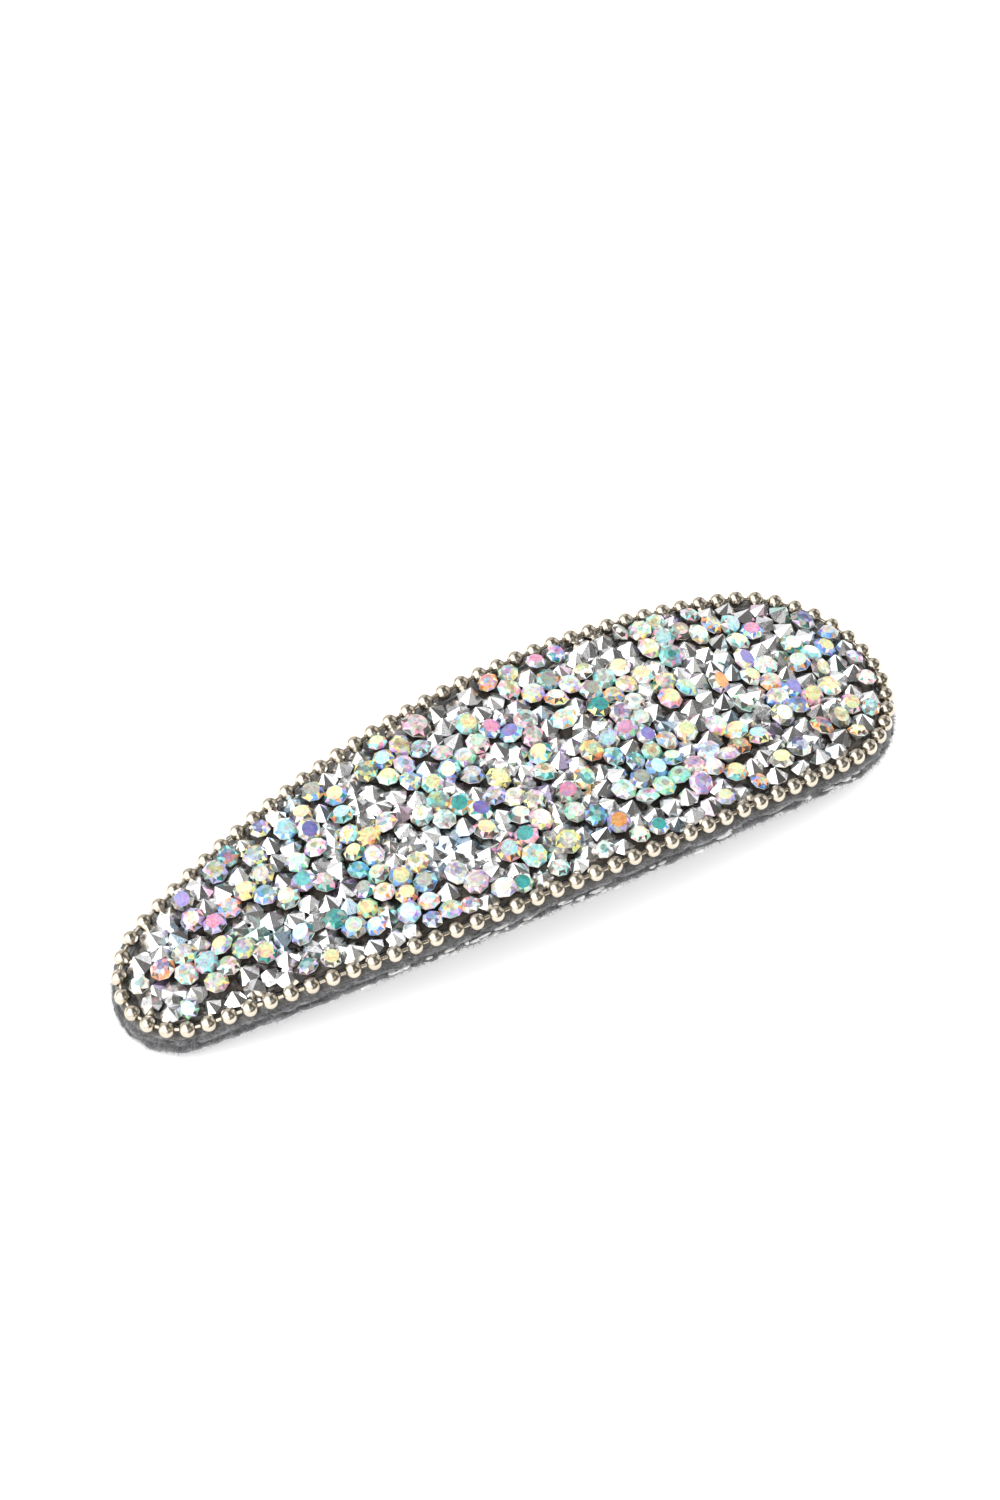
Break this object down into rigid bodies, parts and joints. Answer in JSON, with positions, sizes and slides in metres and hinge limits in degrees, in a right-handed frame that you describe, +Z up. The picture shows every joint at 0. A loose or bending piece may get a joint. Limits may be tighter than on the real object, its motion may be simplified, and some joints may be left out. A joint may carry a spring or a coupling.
{
  "type": "rhinestone hair clip",
  "caption": "Teardrop felt-backed snap hair clip covered in rhinestones with a metal bead-chain border; a sprung steel tongue opens below.",
  "frame": {"origin": "middle of the base of the bounding box, on the surface the closed clip rests on", "axes": "+X along the clip towards its wide end (where the tongue is riveted), +Z up, away from the hair, through the stones"},
  "size_m": [0.0814, 0.027, 0.0107],
  "materials": {
    "grey_felt": "fuzzy felt",
    "clear_glue": "clear glossy",
    "bed_glue": "dark grey gloss",
    "spring_steel": "nickel plated",
    "bead_chain": "polished pale gold",
    "silver_stone": "silver foil facets",
    "ab_stone": "rainbow coated facets over silver foil"
  },
  "bodies": {
    "clip": {"upper_felt": "grey_felt", "lower_felt": "grey_felt", "felt_glue": "clear_glue", "clip_frame": "spring_steel", "tongue_root": "spring_steel", "rivets": "spring_steel", "stone_bed": "bed_glue", "chain_glue": "clear_glue", "glue_beads": "clear_glue", "chain_balls": "bead_chain", "chain_links": "bead_chain", "point_stones_tiny": "silver_stone", "point_stones_small": "silver_stone", "point_stones_medium": "silver_stone", "point_stones_large": "silver_stone", "ab_stones_tiny": "ab_stone", "ab_stones_small": "ab_stone", "ab_stones_medium": "ab_stone", "ab_stones_large": "ab_stone"},
    "tongue": {"clip_tongue": "spring_steel"}
  },
  "joints": [
    {"name": "clip_open", "type": "hinge", "parent": "clip", "child": "tongue", "pos_m": [0.0232, 0, 0.00467], "axis": [0, -1, 0], "range_deg": [0, 30]}
  ]
}
